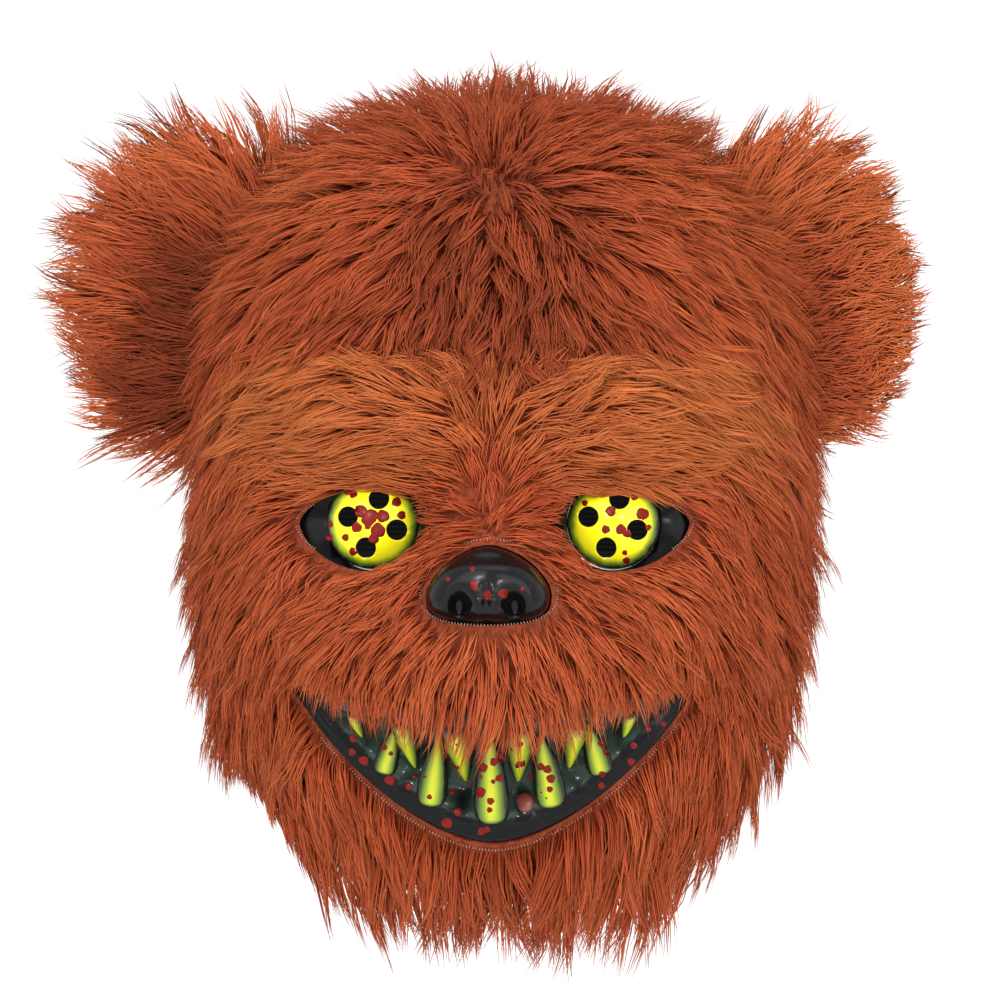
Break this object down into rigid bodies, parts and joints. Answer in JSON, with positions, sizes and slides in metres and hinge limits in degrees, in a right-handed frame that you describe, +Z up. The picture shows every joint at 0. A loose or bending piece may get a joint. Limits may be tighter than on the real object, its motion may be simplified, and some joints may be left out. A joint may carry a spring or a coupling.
{
  "type": "bear mask",
  "caption": "Half mask worn over the face: a moulded face shell covered with long plush, with stuffed ears, eye domes with peep holes, a fanged grin and a head strap.",
  "frame": {"origin": "middle of the wearer's head at eye level", "axes": "+Z up, -Y the way the mask looks, +X towards the wearer's left"},
  "size_m": [0.361, 0.2617, 0.3537],
  "materials": {
    "plush": "long reddish brown pile, darker at the roots",
    "brow_plush": "long orange brown pile",
    "shell_plastic": "glossy black",
    "eye_plastic": "glossy yellow, painted green and black round the edge, with red spots",
    "fang_plastic": "glossy yellow green, painted dark round the edges, with red spots",
    "strap_elastic": "black woven elastic",
    "rivet_metal": "plain metal"
  },
  "bodies": {
    "root": {"face_shell": "shell_plastic", "nose": "shell_plastic", "mouth_tray": "shell_plastic", "eye_left": "eye_plastic", "eye_right": "eye_plastic", "fang_lower_1": "fang_plastic", "fang_lower_2": "fang_plastic", "fang_lower_3": "fang_plastic", "fang_lower_4": "fang_plastic", "fang_lower_5": "fang_plastic", "fang_upper_1": "fang_plastic", "fang_upper_2": "fang_plastic", "fang_upper_3": "fang_plastic", "fang_upper_4": "fang_plastic", "fang_upper_5": "fang_plastic", "fang_upper_6": "fang_plastic", "plush_crown": "plush", "plush_forehead": "plush", "plush_face": "plush", "plush_chin": "plush", "ear_left": "plush", "ear_right": "plush", "plush_brow_left": "brow_plush", "plush_brow_right": "brow_plush", "strap": "strap_elastic", "strap_rivet_left": "rivet_metal", "strap_rivet_right": "rivet_metal"}
  },
  "joints": []
}
